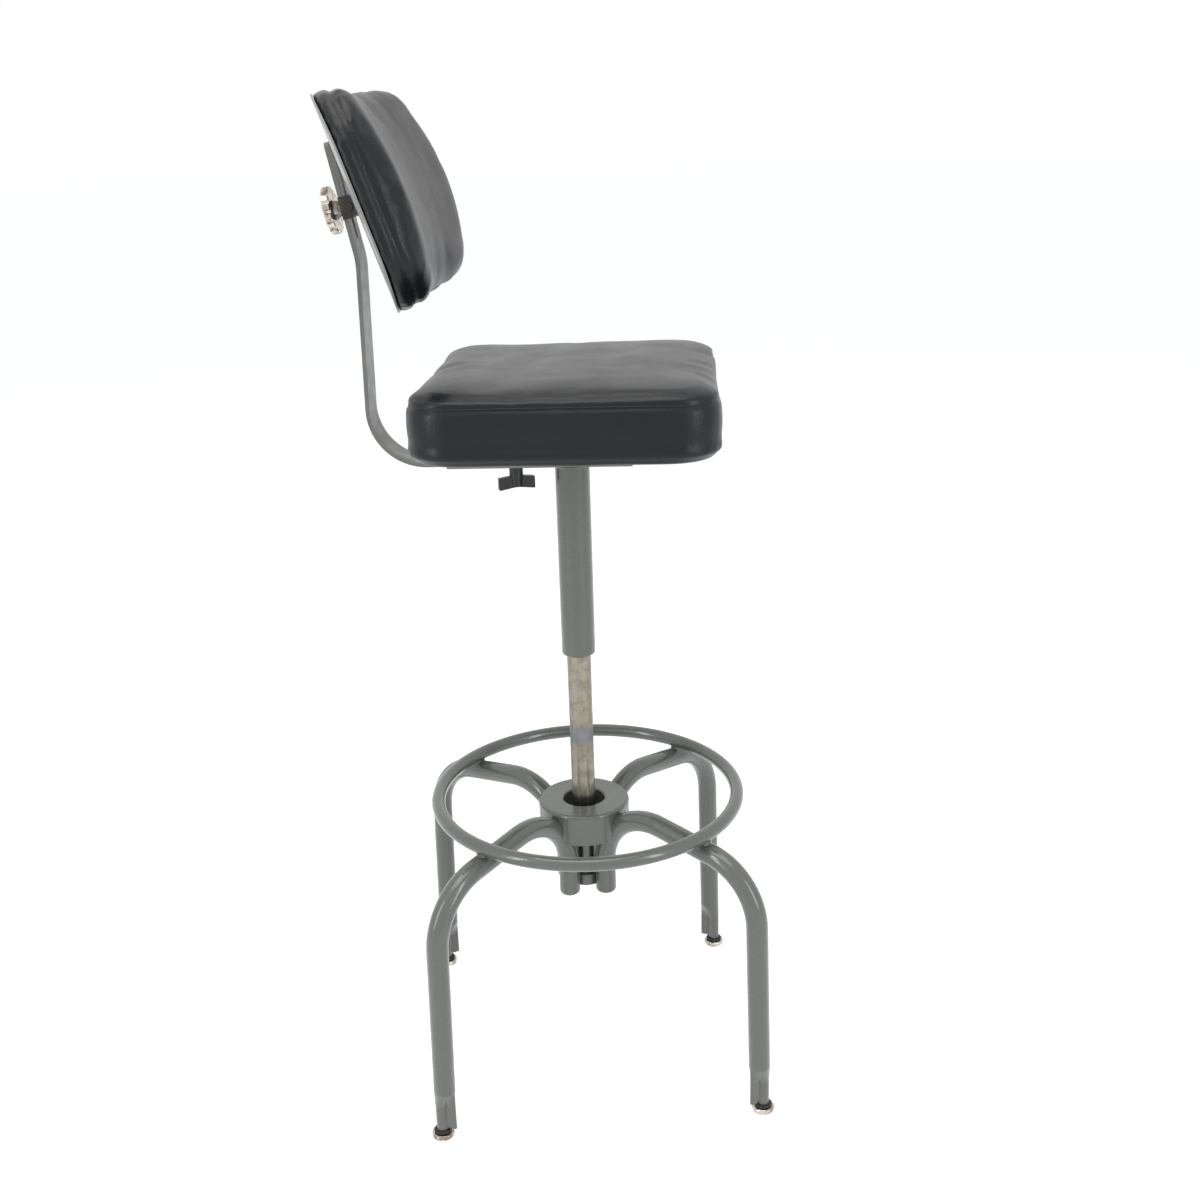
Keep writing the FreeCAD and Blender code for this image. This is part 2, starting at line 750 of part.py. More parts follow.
def seat_screws():
    screws = []
    low = seat_bottom - spider_sheet
    for spot in seat_screw_spots():
        shank = cylinder(seat_screw_r, seat_screw_length - 1.0, spot + V(0, 0, low))
        head = turned((0, low - seat_screw_head), (seat_screw_head_r - 1.5, low - seat_screw_head),
                      (seat_screw_head_r, low - 1.2), (seat_screw_head_r, low), (0, low))
        slot = box(V(-seat_screw_head_r, -0.6, low - seat_screw_head), V(seat_screw_head_r, 0.6, low - 2.0))
        screws.append(moved(head.cut(slot), spot).fuse(shank).removeSplitter())
    return Part.makeCompound(screws)


def seat_cushion():
    """Boxed cushion: sides drawn in under the board and at the top seam, crowned top."""
    levels = [(0.0, 22.0), (4.0, 9.0), (14.0, 2.5), (32.0, 0.0), (50.0, 0.3),
              (62.0, 1.2), (seat_edge_height, 5.0), (seat_edge_height + 0.45 * seat_crown, 22.0),
              (seat_edge_height + 0.85 * seat_crown, 72.0), (seat_edge_height + seat_crown, 125.0)]
    centre = V(0, seat_centre_y, 0)
    wires = []
    for up, inset in levels:
        corner = max(seat_corner_r - 0.4 * inset, 12.0)
        wires.append(rounded_outline(seat_width / 2 - inset, seat_depth / 2 - inset, corner,
                                     centre, seat_bottom + up))
    pad = Part.makeLoft(wires, True, True)
    half_x = seat_width / 2 - board_inset
    half_y = seat_depth / 2 - board_inset
    pad = pad.cut(rounded_plate(half_x, half_y, seat_corner_r - board_inset / 2, centre, seat_bottom, board_thickness))
    for spot in seat_screw_spots():
        room = cylinder(tee_flange_r + side_gap, tee_flange + 3.0, spot + V(0, 0, seat_bottom + board_thickness))
        pad = pad.cut(room)
    return pad


# Clamp of the backrest, drawn upright with the arm's middle plane at y = 0

def pivot_block():
    """Saddle that straddles the arm, threaded for the star knob's stud."""
    high = block_half_height
    face = -arm_thickness / 2 - sliding_gap
    body = box(V(-block_half, block_front, -high), V(block_half, face, high))
    spots = [V(0, block_front, s * high) for s in (-1, 1)]
    body = round_edges_at(body, block_round, spots)
    inside = block_half - block_cheek
    cheeks = [box(V(min(s * inside, s * block_half), face, -high),
                  V(max(s * inside, s * block_half), arm_thickness / 2, high)) for s in (-1, 1)]
    body = body.multiFuse(cheeks).removeSplitter()
    body = body.cut(cylinder(bolt_r + running_gap, block_depth, V(0, block_front, 0), Y_AXIS))
    for s in (-1, 1):
        depth = pin_depth + side_gap
        body = body.cut(cylinder(pin_r + running_gap, depth, V(s * block_half, pivot_y, 0), V(-s, 0, 0)))
    return placed(body, arm_frame)


def star_washer():
    low = arm_thickness / 2 + sliding_gap
    return placed(ring(knob_washer_r, bolt_r + side_gap, knob_washer_thickness, V(0, low, 0), Y_AXIS), arm_frame)


def knob_start():
    return arm_thickness / 2 + sliding_gap + knob_washer_thickness + sliding_gap


def star_knob():
    """Fluted plated hand knob with a boss towards the arm."""
    start = knob_start()
    boss = Part.makeCone(knob_boss_r, knob_boss_r + 3.0, knob_boss_height, V(0, start, 0), Y_AXIS)
    back = start + knob_boss_height
    disc = cylinder(knob_r, knob_thickness, V(0, back, 0), Y_AXIS)
    disc = disc.makeChamfer(knob_edge, [e for e in disc.Edges if e.Closed])
    cutters = []
    for i in range(knob_flutes):
        turn = 2 * math.pi * i / knob_flutes
        spot = V(knob_r * math.cos(turn), back - 1, knob_r * math.sin(turn))
        cutters.append(cylinder(knob_flute_r, knob_thickness + 2, spot, Y_AXIS))
    disc = disc.cut(cutters[0].multiFuse(cutters[1:]))
    dish = cylinder(knob_r - 8.0, 1.5, V(0, back + knob_thickness - 1.5, 0), Y_AXIS)
    button = cylinder(knob_boss_r, 1.5, V(0, back + knob_thickness - 1.5, 0), Y_AXIS)
    knob = boss.fuse(disc.cut(dish)).fuse(button).removeSplitter()
    knob = knob.cut(cylinder(bolt_r, knob_boss_height + knob_thickness / 2, V(0, start, 0), Y_AXIS))
    return placed(knob, arm_frame)


def star_stud():
    low = -arm_thickness / 2 - sliding_gap - stud_reach
    high = knob_start() + knob_boss_height + knob_thickness / 2
    return placed(cylinder(bolt_r, high - low, V(0, low, 0), Y_AXIS), arm_frame)


# Backrest, drawn upright with its tilt axis at the origin and its front towards -Y

def dished_band(depth, thickness):
    """Sheet bent about an upright axis in front of it, its rear face this deep behind the pan's."""
    axis = V(0, -pivot_to_pan - back_dish_r, -back_height)
    outer = back_dish_r - depth
    return ring(outer, outer - thickness, 2 * back_height, axis)


def front_outline(half_x, half_z, corner):
    """Rounded prism along Y that trims a sheet to its outline."""
    plate = rounded_plate(half_x, half_z, corner, V(0, 0, 0), 0, back_dish_r)
    plate.rotate(V(0, 0, 0), X_AXIS, 90)
    return moved(plate, V(0, back_dish_r / 4, -back_drop))


def dished_sheet(depth, thickness, inset):
    outline = front_outline(back_width / 2 - inset, back_height / 2 - inset, back_corner_r - inset)
    sheet = dished_band(depth, thickness).common(outline)
    return min(sheet.Solids, key=lambda s: abs(s.CenterOfMass.y))


def back_screw_spots():
    return [V(sx * back_screw_x, 0, sz * back_screw_z) for sx in (-1, 1) for sz in (-1, 1)]


def backrest_bracket():
    """Plate on the pan with two ears that carry the pivot pins."""
    w, h = plate_half_width, plate_half_height
    rear = -pivot_to_pan + plate_sheet
    plate = rounded_plate(w, h, 5.0, V(0, 0, 0), 0, plate_sheet)
    plate.rotate(V(0, 0, 0), X_AXIS, 90)
    plate.translate(V(0, rear, 0))
    for s in (-1, 1):
        x = ear_inside if s > 0 else -ear_inside - ear_sheet
        ear = cylinder(ear_r, ear_sheet, V(x, 0, 0), X_AXIS)
        web = box(V(x, -pivot_to_pan, -ear_r - 3), V(x + ear_sheet, 0, ear_r + 3))
        slope = Part.Face(Part.makePolygon([V(x, rear, -ear_r - 3), V(x, rear, ear_r + 3), V(x, 0, ear_r),
                                            V(x, 0, -ear_r), V(x, rear, -ear_r - 3)]))
        web = slope.extrude(V(ear_sheet, 0, 0)).fuse(web.common(box(V(x, -pivot_to_pan, -ear_r - 3),
                                                                   V(x + ear_sheet, rear, ear_r + 3))))
        plate = plate.multiFuse([ear, web])
    plate = plate.removeSplitter()
    plate = plate.cut(cylinder(pin_r, 4 * w, V(-2 * w, 0, 0), X_AXIS))
    for spot in back_screw_spots():
        plate = plate.cut(cylinder(back_screw_r, plate_sheet, spot + V(0, -pivot_to_pan, 0), Y_AXIS))
    return placed(plate, back_frame)


def pivot_pins():
    """Two short headed pins, one in each side of the block."""
    pins = []
    for s in (-1, 1):
        outward = V(s, 0, 0)
        inner = block_half - pin_depth
        outer = ear_inside + ear_sheet
        shank = cylinder(pin_r, outer - inner, V(s * inner, 0, 0), outward)
        head = cylinder(pin_head_r, pin_head, V(s * outer, 0, 0), outward)
        pins.append(shank.fuse(head).removeSplitter())
    return placed(Part.makeCompound(pins), back_frame)


def backrest_pan():
    pan = dished_sheet(0, pan_sheet, pan_inset)
    for spot in back_screw_spots():
        pan = pan.cut(cylinder(back_screw_r, 8.0, spot + V(0, -pivot_to_pan - 6.0, 0), Y_AXIS))
    return placed(pan, back_frame)


def backrest_board():
    board = dished_sheet(pan_sheet, back_board_thickness, back_board_inset)
    for spot in back_screw_spots():
        hole = cylinder(back_screw_r, back_board_thickness + 4, spot + V(0, -pivot_to_pan - 14.0, 0), Y_AXIS)
        board = board.cut(hole)
    return placed(board, back_frame)


def bracket_screws():
    screws = []
    head_face = -pivot_to_pan + plate_sheet
    for spot in back_screw_spots():
        tip = -pivot_to_pan - pan_sheet - back_board_thickness + 1.5
        shank = cylinder(back_screw_r, head_face - tip, spot + V(0, tip, 0), Y_AXIS)
        head = Part.makeCone(back_screw_head_r, back_screw_head_r - 1.5, back_screw_head,
                             spot + V(0, head_face, 0), Y_AXIS)
        screws.append(shank.fuse(head).removeSplitter())
    return placed(Part.makeCompound(screws), back_frame)


def pad_slice(x):
    """Upright slice of the pad: flat rear, rounded edges and a crowned front."""
    half_w = back_width / 2
    past = max(abs(x) - (half_w - back_corner_r), 0)
    drop = back_corner_r - math.sqrt(max(back_corner_r ** 2 - past ** 2, 0))
    half_h = back_height / 2 - drop
    share = abs(x) / half_w
    rear = -pivot_to_pan - pan_sheet - (back_dish_r - math.sqrt(back_dish_r ** 2 - x ** 2))
    depth = back_band + back_pad * math.sqrt(max(1 - share ** 6, 0.02))
    edge_depth = back_band + 0.25 * (depth - back_band)
    z = -back_drop
    inset = 3.0
    low_rear, high_rear = V(x, rear, z - half_h + inset), V(x, rear, z + half_h - inset)
    low_edge, high_edge = V(x, rear - edge_depth, z - half_h), V(x, rear - edge_depth, z + half_h)
    low_bow, high_bow = 0.84 * depth, 0.75 * depth
    low_front, high_front = V(x, rear - low_bow, z - half_h * 0.74), V(x, rear - high_bow, z + half_h * 0.77)
    low_turn, high_turn = [edge_depth + 0.7 * (bow - edge_depth) for bow in (low_bow, high_bow)]
    low_shoulder = V(x, rear - low_turn, z - half_h * 0.925)
    high_shoulder = V(x, rear - high_turn, z + half_h * 0.915)
    edges = [Part.LineSegment(low_rear, high_rear), Part.LineSegment(high_rear, high_edge),
             Part.Arc(high_edge, high_shoulder, high_front),
             Part.Arc(high_front, V(x, rear - depth, z), low_front),
             Part.Arc(low_front, low_shoulder, low_edge), Part.LineSegment(low_edge, low_rear)]
    return Part.Wire([e.toShape() for e in edges])


def backrest_cushion():
    """Rear band and crowned front pad as one dished solid with room for the board."""
    half_w = back_width / 2
    stations = [0.0, 0.3, 0.55, 0.72, 0.83, 0.91, 0.965, 0.995]
    spots = [-s * half_w for s in reversed(stations[1:])] + [s * half_w for s in stations]
    pad = Part.makeLoft([pad_slice(x) for x in spots], True, True)
    pocket = dished_sheet(0, pan_sheet + back_board_thickness, back_board_inset)
    flush = dished_band(-pan_sheet, 2 * pan_sheet)
    return placed(pad.cut(pocket).cut(flush), back_frame)


def build():
    nodes = {"hub": hub(), "hub_collar": hub_collar(), "foot_collar": foot_collar(),
             "foot_ring": foot_ring(), "ring_welds": ring_welds(), "centre_post": centre_post(),
             "post_head": post_head(), "latch_pin": latch_pin(), "latch_pawl": latch_pawl(),
             "lower_bush": lower_bush(), "seat_tube": seat_tube(),
             "height_sleeve": height_sleeve(), "seat_bracket": seat_bracket(), "seat_spider": seat_spider(),
             "clamp_nut": clamp_nut(), "wing_washer": wing_washer(), "wing_knob": wing_knob(),
             "wing_bolt": wing_bolt(), "back_arm": back_arm(), "seat_board": seat_board(),
             "tee_nuts": tee_nuts(), "seat_screws": seat_screws(), "seat_cushion": seat_cushion(),
             "pivot_block": pivot_block(), "star_washer": star_washer(), "star_knob": star_knob(),
             "star_stud": star_stud(), "backrest_bracket": backrest_bracket(), "pivot_pins": pivot_pins(),
             "backrest_pan": backrest_pan(), "backrest_board": backrest_board(),
             "bracket_screws": bracket_screws(), "backrest_cushion": backrest_cushion(),
             "glide_bases": under_legs(glide_base()), "glide_rubbers": under_legs(glide_rubber()),
             "glide_stems": under_legs(glide_stem())}
    legs = {hand: leg(hand) for hand in (1, -1)}
    for name, hand, angle in zip(leg_names, leg_hands, leg_angles):
        nodes["leg_" + name] = around(legs[hand], angle)
    return nodes


os.makedirs("parts", exist_ok=True)
for name, shape in build().items():
    shape.exportStep("parts/" + name + ".step")
    print(name, len(shape.Solids), "solids", round(shape.Volume), "mm3 valid", shape.isValid())
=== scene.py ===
import json
import math

import bmesh
import bpy
from mathutils import Matrix, Vector
from mathutils.bvhtree import BVHTree


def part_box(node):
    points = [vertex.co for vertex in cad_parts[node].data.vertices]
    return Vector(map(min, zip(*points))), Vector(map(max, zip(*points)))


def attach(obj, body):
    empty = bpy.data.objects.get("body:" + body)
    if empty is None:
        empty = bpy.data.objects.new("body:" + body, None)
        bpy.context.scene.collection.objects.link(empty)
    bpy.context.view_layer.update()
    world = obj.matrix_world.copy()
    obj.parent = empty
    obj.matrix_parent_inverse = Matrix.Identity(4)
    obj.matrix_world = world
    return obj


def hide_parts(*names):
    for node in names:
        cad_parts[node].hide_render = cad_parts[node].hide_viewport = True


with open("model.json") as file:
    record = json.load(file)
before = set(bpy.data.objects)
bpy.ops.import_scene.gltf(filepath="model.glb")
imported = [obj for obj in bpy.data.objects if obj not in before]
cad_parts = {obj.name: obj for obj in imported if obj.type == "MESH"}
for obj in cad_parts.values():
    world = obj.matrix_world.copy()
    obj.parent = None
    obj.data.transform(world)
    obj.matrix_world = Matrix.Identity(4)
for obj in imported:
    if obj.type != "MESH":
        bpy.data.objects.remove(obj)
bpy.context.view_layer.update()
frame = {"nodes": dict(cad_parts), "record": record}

# Machinist stool: finishes for the construction, two upholstered pads, seams,
# weld beads, staples, a plain studio and the photograph's camera. Metres.

nodes = frame["nodes"]

# Camera, worked out from the photograph
camera_place = Vector((-1.6059, -0.12552, 1.1457))
camera_right = Vector((0.05137, -0.99832, -0.0283))
camera_up = Vector((0.32315, -0.01023, 0.9463))
camera_lens = 43.02
sensor_width = 36.0

# Cushions: the pads start smaller by the slack, and their covers move by the limit at most
voxel = 0.006
slack = 0.0012
puff_pressure = 4.0
puff_limit = 0.005
cloth_frames = 20
cloth_stiffness = 25

# Seams, heights over the seat's lower edge and depth in front of the pan
seam_width = 0.0035
seam_depth = 0.0022
top_seam_height = 0.063
tuck_height = 0.007
band_depth = 0.021
welt_radius = 0.0011
welt_sink = 0.0003
welt_points = 240

# Shape of the seat: sides drawn in between the corners, a dip towards the rear
side_pull = 0.0015
dip_depth = 0.0022
dip_place = 0.45
dip_spread = 0.3

# Shape of the backrest's pan, as the construction has it
back_lean = math.radians(18.6)
pan_dish_radius = 0.52
pan_behind_pivot = 0.014

# Weld bead and staples
bead_radius = 0.0017
bead_points = 72
bead_ripples = 11
bead_ripple = 0.015
staple_count = 44
staple_size = (0.01, 0.0011, 0.0006)
staple_margin = 0.009
staple_sunk = 0.0003
staple_rounding = 0.00018

# Studio
world_tint = (0.93, 0.96, 1.0, 1)
world_strength = 0.55
floor_size = 30
floor_lift = 0.56
lamp_target = Vector((0, 0, 0.6))


# Materials

class Finish:
    """A node material around one shader, with short calls for its details."""

    def __init__(self, name, colour, roughness, metallic=0.0, specular=0.5):
        self.material = bpy.data.materials.new(name)
        self.material.use_nodes = True
        self.tree = self.material.node_tree
        self.shader = self.tree.nodes["Principled BSDF"]
        self.place = self.add("ShaderNodeTexCoord").outputs["Object"]
        self.colour = None
        self.set("Base Color", (*colour, 1.0))
        self.set("Roughness", roughness)
        self.set("Metallic", metallic)
        self.set("Specular IOR Level", specular)
        self.last_bump = None

    def add(self, kind):
        return self.tree.nodes.new(kind)

    def link(self, output, socket):
        self.tree.links.new(output, socket)

    def set(self, socket, value):
        self.shader.inputs[socket].default_value = value

    def stretched(self, scale):
        mapping = self.add("ShaderNodeMapping")
        mapping.inputs["Scale"].default_value = scale
        self.link(self.place, mapping.inputs["Vector"])
        return mapping.outputs["Vector"]

    def noise(self, size, detail=3.0, stretch=(1, 1, 1)):
        """Noise with lumps of about this size in metres."""
        node = self.add("ShaderNodeTexNoise")
        node.inputs["Scale"].default_value = 1.0 / size
        node.inputs["Detail"].default_value = detail
        self.link(self.stretched(stretch), node.inputs["Vector"])
        return node.outputs["Fac"]

    def cells(self, size):
        """Distance to the nearest of scattered points this far apart."""
        node = self.add("ShaderNodeTexVoronoi")
        node.inputs["Scale"].default_value = 1.0 / size
        self.link(self.place, node.inputs["Vector"])
        return node.outputs["Distance"]

    def between(self, value, low, high, out_low=0.0, out_high=1.0):
        """Turns the range from low to high into another one, clamped."""
        node = self.add("ShaderNodeMapRange")
        limits = {"From Min": low, "From Max": high, "To Min": out_low, "To Max": out_high}
        for socket, number in limits.items():
            node.inputs[socket].default_value = number
        self.link(value, node.inputs["Value"])
        return node.outputs["Result"]

    def blend_colour(self, amount, colour):
        """Lays another colour over the present one where amount is 1."""
        node = self.add("ShaderNodeMixRGB")
        node.inputs["Color1"].default_value = self.shader.inputs["Base Color"].default_value
        node.inputs["Color2"].default_value = (*colour, 1.0)
        self.link(amount, node.inputs["Fac"])
        if self.colour is not None:
            self.link(self.colour, node.inputs["Color1"])
        self.colour = node.outputs["Color"]
        self.link(self.colour, self.shader.inputs["Base Color"])

    def vary_roughness(self, value, low, high):
        self.link(self.between(value, 0.3, 0.7, low, high), self.shader.inputs["Roughness"])

    def bump(self, height, distance, strength=1.0):
        node = self.add("ShaderNodeBump")
        node.inputs["Distance"].default_value = distance
        node.inputs["Strength"].default_value = strength
        self.link(height, node.inputs["Height"])
        if self.last_bump is not None:
            self.link(self.last_bump, node.inputs["Normal"])
        self.last_bump = node.outputs["Normal"]
        self.link(self.last_bump, self.shader.inputs["Normal"])

    def height_above(self, low, high):
        """0 below the lower height, 1 above the upper one."""
        split = self.add("ShaderNodeSeparateXYZ")
        self.link(self.place, split.inputs["Vector"])
        return self.between(split.outputs["Z"], low, high)

    def product(self, first, second):
        node = self.add("ShaderNodeMath")
        node.operation = "MULTIPLY"
        self.link(first, node.inputs[0])
        self.link(second, node.inputs[1])
        return node.outputs["Value"]


def enamel():
    """Gloss grey-green enamel, browner low down, with orange peel and dust."""
    f = Finish("frame_paint", (0.112, 0.122, 0.104), 0.3)
    f.set("Coat Weight", 0.6)
    f.set("Coat Roughness", 0.1)
    f.blend_colour(f.between(f.height_above(0.02, 0.3), 1.0, 0.0, 0.0, 0.65), (0.135, 0.13, 0.112))
    f.blend_colour(f.between(f.noise(0.05), 0.45, 0.75, 0.0, 0.25), (0.145, 0.155, 0.138))
    f.blend_colour(f.between(f.noise(0.0016, 2.0), 0.74, 0.8, 0.0, 0.6), (0.075, 0.075, 0.062))
    f.vary_roughness(f.noise(0.02), 0.22, 0.38)
    f.bump(f.noise(0.0035, 2.0), 0.00012)
    return f.material


def channel_paint():
    """The same enamel rubbed thinner on the flat parts under the seat."""
    f = Finish("channel_paint", (0.16, 0.165, 0.14), 0.36)
    f.set("Coat Weight", 0.35)
    f.set("Coat Roughness", 0.18)
    f.blend_colour(f.between(f.noise(0.02), 0.45, 0.7, 0.0, 0.5), (0.22, 0.21, 0.17))
    f.blend_colour(f.between(f.noise(0.0022, 2.0), 0.68, 0.76), (0.08, 0.07, 0.05))
    f.vary_roughness(f.noise(0.015), 0.28, 0.45)
    f.bump(f.noise(0.003, 2.0), 0.0001)
    return f.material


def bare_steel():
    """Drawn or turned steel with fine lines, tarnish and specks."""
    colour = (0.36, 0.33, 0.29)
    roughness = 0.34
    f = Finish("bare_steel", colour, roughness, metallic=0.92)
    f.blend_colour(f.between(f.noise(0.02), 0.4, 0.7, 0.0, 0.7), tuple(c * 0.62 for c in colour))
    f.blend_colour(f.between(f.noise(0.0018, 3.0), 0.66, 0.74), (0.05, 0.04, 0.03))
    lines = f.noise(0.0007, 2.0, (1, 1, 0.02))
    f.vary_roughness(lines, roughness * 0.8, roughness * 1.3)
    f.bump(lines, 0.00004)
    return f.material


def post_steel():
    """Spindle: tan drawn steel, a bluish band of painted reflection of the foot ring, and grey paint below
    it.
    """
    f = Finish("post_steel", (0.33, 0.30, 0.245), 0.34, metallic=0.9)
    f.blend_colour(f.between(f.noise(0.012, 4.0), 0.42, 0.68, 0.0, 0.75), (0.2, 0.17, 0.12))
    f.blend_colour(f.between(f.noise(0.0014, 3.0), 0.62, 0.7), (0.05, 0.04, 0.03))
    # Bluish band from 0.414 to 0.442 m: a painted reflection of the foot ring in the bare steel.
    painted_ring_reflection = f.product(f.height_above(0.414, 0.42), f.between(f.height_above(0.434, 0.442), 0, 1, 1, 0))
    f.blend_colour(f.between(painted_ring_reflection, 0, 1, 0, 0.6), (0.2, 0.23, 0.27))
    below = f.between(f.height_above(0.345, 0.35), 0, 1, 1, 0)
    f.blend_colour(below, (0.12, 0.135, 0.118))
    lines = f.noise(0.0008, 2.0, (1, 1, 0.03))
    f.vary_roughness(lines, 0.26, 0.44)
    f.bump(lines, 0.00004)
    return f.material


def vinyl():
    """Black upholstery vinyl with a fine pressed grain and slight waves."""
    f = Finish("vinyl", (0.0062, 0.007, 0.0088), 0.3, specular=0.3)
    f.blend_colour(f.between(f.noise(0.08), 0.4, 0.75, 0.0, 0.4), (0.009, 0.0095, 0.0105))
    f.vary_roughness(f.noise(0.05), 0.27, 0.36)
    f.bump(f.between(f.cells(0.0013), 0.0, 0.6), 0.00016, 0.8)
    f.bump(f.noise(0.03), 0.0005, 0.5)
    return f.material


def moulded(name, colour, roughness):
    """Moulded plastic or rubber with a matt skin."""
    f = Finish(name, colour, roughness, specular=0.45)
    f.blend_colour(f.between(f.noise(0.006), 0.5, 0.75, 0.0, 0.6), tuple(c * 1.9 + 0.004 for c in colour))
    f.vary_roughness(f.noise(0.004), roughness * 0.85, roughness * 1.2)
    f.bump(f.noise(0.0009, 2.0), 0.00008)
    return f.material


def dark_steel():
    """Black oxide with brown rubbed through."""
    f = Finish("black_steel", (0.03, 0.026, 0.023), 0.42, metallic=0.4)
    f.blend_colour(f.between(f.noise(0.009), 0.5, 0.72, 0.0, 0.8), (0.085, 0.055, 0.04))
    f.vary_roughness(f.noise(0.004), 0.32, 0.55)
    f.bump(f.noise(0.0014), 0.00006)
    return f.material


def pan_paint():
    """Light grey enamel, rust-brown where the edge is rubbed."""
    f = Finish("pan_steel", (0.26, 0.26, 0.235), 0.33)
    f.set("Coat Weight", 0.3)
    f.blend_colour(f.between(f.noise(0.018), 0.5, 0.8, 0.0, 0.4), (0.2, 0.19, 0.17))
    f.blend_colour(f.between(f.noise(0.004), 0.66, 0.74), (0.12, 0.06, 0.035))
    f.vary_roughness(f.noise(0.02), 0.25, 0.42)
    f.bump(f.noise(0.003, 2.0), 0.0001)
    return f.material


def bright_plating():
    """Bright plating, warm and brown in places."""
    roughness = 0.13
    f = Finish("plated", (0.62, 0.58, 0.52), roughness, metallic=1.0)
    f.blend_colour(f.between(f.noise(0.007, 4.0), 0.46, 0.64, 0.0, 0.85), (0.2, 0.135, 0.085))
    f.vary_roughness(f.noise(0.004), roughness * 0.7, roughness * 2.0)
    f.bump(f.noise(0.0012), 0.00004)
    return f.material


def plywood():
    """Raw birch plywood: long grain above, plies round the edge."""
    f = Finish("plywood", (0.5, 0.37, 0.22), 0.6)
    grain = f.noise(0.003, 4.0, (0.06, 1, 1))
    f.blend_colour(f.between(grain, 0.4, 0.62), (0.33, 0.22, 0.12))
    plies = f.noise(0.0016, 0.0, (0.01, 0.01, 1))
    f.blend_colour(f.between(plies, 0.45, 0.55, 0.0, 0.35), (0.24, 0.15, 0.08))
    f.vary_roughness(grain, 0.5, 0.7)
    f.bump(grain, 0.00015)
    return f.material


paint = enamel()
channel = channel_paint()
bright_steel = bare_steel()
black_plastic = moulded("black_plastic", (0.012, 0.012, 0.013), 0.32)
rubber = moulded("black_rubber", (0.014, 0.013, 0.013), 0.5)
black_steel = dark_steel()
vinyl_finish = vinyl()
plated = bright_plating()
board = plywood()

by_slot = {"frame_paint": paint, "bare_steel": bright_steel, "black_plastic": black_plastic,
           "plywood": board, "vinyl": vinyl_finish, "black_steel": black_steel,
           "pan_steel": pan_paint(), "plated": plated, "black_rubber": rubber}
by_node = {"centre_post": post_steel(), "seat_bracket": channel, "seat_spider": channel, "back_arm": channel}

for part in frame["record"]["subparts"]:
    finish = by_node.get(part["node"], by_slot[part["material_slot"]])
    data = nodes[part["node"]].data
    if not data.materials:
        data.materials.append(finish)
    for slot in nodes[part["node"]].material_slots:
        slot.material = finish


# Mesh helpers

def piece(name, mesh, body, finish, smooth=True):
    obj = bpy.data.objects.new(name, mesh)
    bpy.context.scene.collection.objects.link(obj)
    mesh.materials.clear()
    mesh.materials.append(finish)
    for polygon in mesh.polygons:
        polygon.use_smooth = smooth
    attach(obj, body)
    return obj


def applied(obj):
    """Replaces the object's mesh with the result of its modifiers."""
    graph = bpy.context.evaluated_depsgraph_get()
    mesh = bpy.data.meshes.new_from_object(obj.evaluated_get(graph))
    obj.modifiers.clear()
    obj.data = mesh


def closed_tube(name, points, radius, sides=8):
    """Round cord of mesh along a closed loop of points."""
    mesh = bpy.data.meshes.new(name)
    made = bmesh.new()
    rings = []
    count = len(points)
    for i, point in enumerate(points):
        along = (points[(i + 1) % count] - points[i - 1]).normalized()
        if i == 0:
            across = along.orthogonal().normalized()
        else:
            across = (across - along * across.dot(along)).normalized()
        other = along.cross(across)
        ring = []
        for k in range(sides):
            turn = 2 * math.pi * k / sides
            out = across * math.cos(turn) + other * math.sin(turn)
            ring.append(made.verts.new(point + out * radius))
        rings.append(ring)
    for here, ahead in zip(rings[:-1], rings[1:]):
        for k in range(sides):
            beside = (k + 1) % sides
            made.faces.new((here[k], here[beside], ahead[beside], ahead[k]))
    first, last = rings[0], rings[-1]
    twist = min(range(sides), key=lambda s: (last[0].co - first[s].co).length)
    for k in range(sides):
        near, far = (k + twist) % sides, (k + 1 + twist) % sides
        made.faces.new((last[k], last[(k + 1) % sides], first[far], first[near]))
    bmesh.ops.recalc_face_normals(made, faces=made.faces)
    made.to_mesh(mesh)
    made.free()
    return mesh


# Upholstery

def puffed(name, node, body, held):
    """Copy of a soft solid, remeshed and blown up a little; held(point) is 1 where it can't move."""
    mesh = nodes[node].data.copy()
    mesh.name = name
    obj = piece(name, mesh, body, vinyl_finish)
    obj.modifiers.new("remesh", "REMESH").voxel_size = voxel
    applied(obj)
    start = []
    for vertex in obj.data.vertices:
        free = 1 - held(vertex.co)
        vertex.co -= vertex.normal * slack * free
        start.append((vertex.co.copy(), free))
    cloth = obj.modifiers.new("cloth", "CLOTH")
    cloth.settings.use_pressure = True
    cloth.settings.uniform_pressure_force = puff_pressure
    cloth.settings.effector_weights.gravity = 0
    cloth.settings.tension_stiffness = cloth_stiffness
    cloth.settings.compression_stiffness = cloth_stiffness
    for frame_number in range(1, cloth_frames + 1):
        bpy.context.scene.frame_set(frame_number)
    applied(obj)
    bpy.context.scene.frame_set(1)
    for vertex, (place, free) in zip(obj.data.vertices, start):
        move = vertex.co - place
        if move.length > puff_limit:
            move = move.normalized() * puff_limit
        vertex.co = place + move * free
    obj.modifiers.new("smooth", "SMOOTH").iterations = 3
    obj.modifiers.new("round", "SUBSURF").levels = 1
    obj.modifiers["round"].render_levels = 1
    applied(obj)
    for polygon in obj.data.polygons:
        polygon.use_smooth = True
    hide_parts(node)
    return obj


def smooth_step(value, low, high):
    share = min(max((value - low) / (high - low), 0.0), 1.0)
    return share * share * (3 - 2 * share)


def sew(obj, level, depth):
    """Draws the cover in along the line where level(point) is 0."""
    for vertex in obj.data.vertices:
        off = level(vertex.co) / seam_width
        if abs(off) < 3:
            vertex.co -= vertex.normal * depth * math.exp(-off * off)


